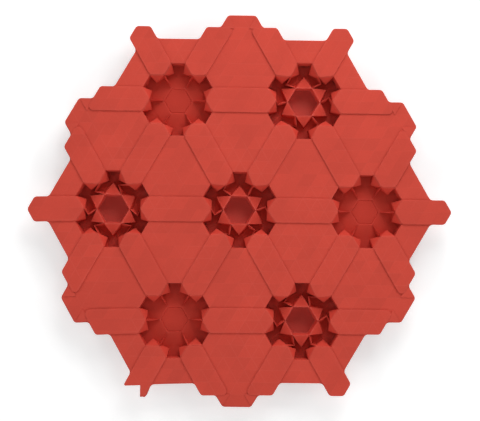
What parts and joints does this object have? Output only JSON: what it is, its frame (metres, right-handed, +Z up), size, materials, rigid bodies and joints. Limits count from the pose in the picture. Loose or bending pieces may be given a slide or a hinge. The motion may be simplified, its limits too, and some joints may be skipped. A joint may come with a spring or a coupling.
{
  "type": "origami tessellation",
  "caption": "Hexagonal paper sheet folded on a triangular grid into sunken star and flower rosettes joined by raised pleats; a decorative relief panel.",
  "frame": {"origin": "on the surface that the sheet lies on, under the middle rosette", "axes": "+Z up out of the folded face, +X towards the right-hand pleat tip, +Y towards the upper flat edge"},
  "size_m": [0.2036, 0.1884, 0.0109],
  "materials": {
    "red_paper": "matte"
  },
  "bodies": {
    "root": {"folded_sheet": "red_paper"}
  },
  "joints": []
}
